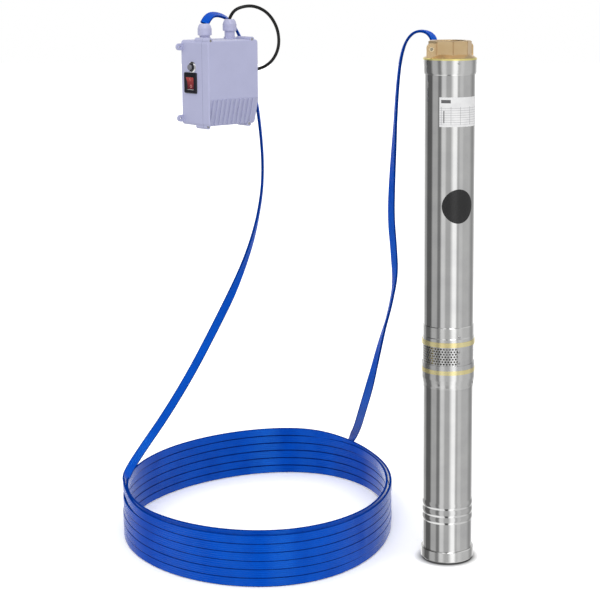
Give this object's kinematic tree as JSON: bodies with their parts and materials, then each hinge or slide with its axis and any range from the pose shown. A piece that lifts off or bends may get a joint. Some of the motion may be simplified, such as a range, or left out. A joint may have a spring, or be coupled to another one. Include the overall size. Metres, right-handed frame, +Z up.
{
  "type": "submersible pump",
  "caption": "Stainless deep-well pump with brass discharge head, strainer, flat cable in an open coil and a wall control box with switch, reset button and mains lead.",
  "frame": {"origin": "middle of the pump's flat base", "axes": "+Z up along the pump's shaft; the cable coil and control box lie towards -X and +Y"},
  "size_m": [0.6811, 0.6847, 1.0267],
  "materials": {
    "polished_steel": "polished stainless",
    "sheet_steel": "satin stainless",
    "zinc_screws": "bright",
    "brass": "cast and machined",
    "shaft_steel": "ground",
    "cast_bracket": "cast",
    "carbon": "ground",
    "laminations": "stacked sheet",
    "rotor_aluminium": "cast",
    "copper": "varnished winding",
    "stage_plastic": "moulded",
    "impeller_plastic": "moulded",
    "valve_plastic": "moulded",
    "black_rubber": "matt",
    "plate_silver": "satin",
    "sticker_black": "satin",
    "box_plastic": "fine satin",
    "switch_black": "satin",
    "rocker_red": "gloss",
    "chrome": "bright",
    "capacitor_can": "moulded",
    "terminal_white": "moulded",
    "cable_blue": "satin",
    "cable_black": "satin"
  },
  "bodies": {
    "root": {"end_cap": "polished_steel", "diaphragm": "black_rubber", "lower_bracket": "cast_bracket", "thrust_pads": "shaft_steel", "motor_bushes": "carbon", "stator_core": "laminations", "windings": "copper", "motor_tube": "polished_steel", "motor_top_bell": "polished_steel", "seal_seat": "carbon", "flange_studs": "zinc_screws", "flange_nuts": "zinc_screws", "suction_bracket": "brass", "strainer_screen": "sheet_steel", "lower_collar": "polished_steel", "pump_shell": "polished_steel", "top_collar": "polished_steel", "bowls": "stage_plastic", "bearing_spider": "stage_plastic", "top_bush": "black_rubber", "discharge_head": "brass", "valve_seat": "black_rubber", "valve_guide": "brass", "valve_spring": "shaft_steel", "cable_guard": "sheet_steel", "pump_screws": "zinc_screws", "motor_lead": "cable_blue", "rating_plate": "plate_silver", "round_sticker": "sticker_black", "box_base": "box_plastic", "box_cover": "box_plastic", "cover_screws": "zinc_screws", "gland_bodies": "box_plastic", "gland_nuts": "box_plastic", "switch_housing": "switch_black", "breaker_body": "switch_black", "breaker_nut": "chrome", "capacitor": "capacitor_can", "capacitor_clamp": "zinc_screws", "terminal_block": "terminal_white", "cable_coil": "cable_blue", "cable_pump_side": "cable_blue", "cable_riser": "cable_blue", "mains_lead": "cable_black", "mains_coil": "cable_black", "mains_tie": "black_rubber", "mains_plug": "cable_black"},
    "shaft": {"motor_shaft": "shaft_steel", "rotor_core": "laminations", "rotor_cage": "rotor_aluminium", "thrust_disc": "carbon", "seal_ring": "shaft_steel", "sand_slinger": "black_rubber", "shaft_coupling": "shaft_steel", "pump_shaft": "shaft_steel", "shaft_nut": "zinc_screws", "impellers": "impeller_plastic"},
    "valve_poppet": {"valve_poppet": "valve_plastic"},
    "rocker": {"rocker": "rocker_red"},
    "reset_button": {"reset_button": "switch_black"}
  },
  "joints": [
    {"name": "shaft_spin", "type": "hinge", "parent": "root", "child": "shaft", "pos_m": [0, 0, 0.2], "axis": [0, 0, 1], "continuous": true},
    {"name": "check_valve_lift", "type": "slide", "parent": "root", "child": "valve_poppet", "axis": [0, 0, 1], "range_m": [0, 0.008], "stiffness_N_per_m": 60, "springref_m": -0.004, "deforming": ["valve_spring"]},
    {"name": "rocker_tilt", "type": "hinge", "parent": "root", "child": "rocker", "pos_m": [-0.47982, 0.14227, 0.8762], "axis": [-0.682, 0.7314, 0], "range_deg": [0, 18]},
    {"name": "reset_press", "type": "slide", "parent": "root", "child": "reset_button", "axis": [0.7314, 0.682, 0], "range_m": [0, 0.003], "stiffness_N_per_m": 300, "springref_m": -0.002}
  ]
}
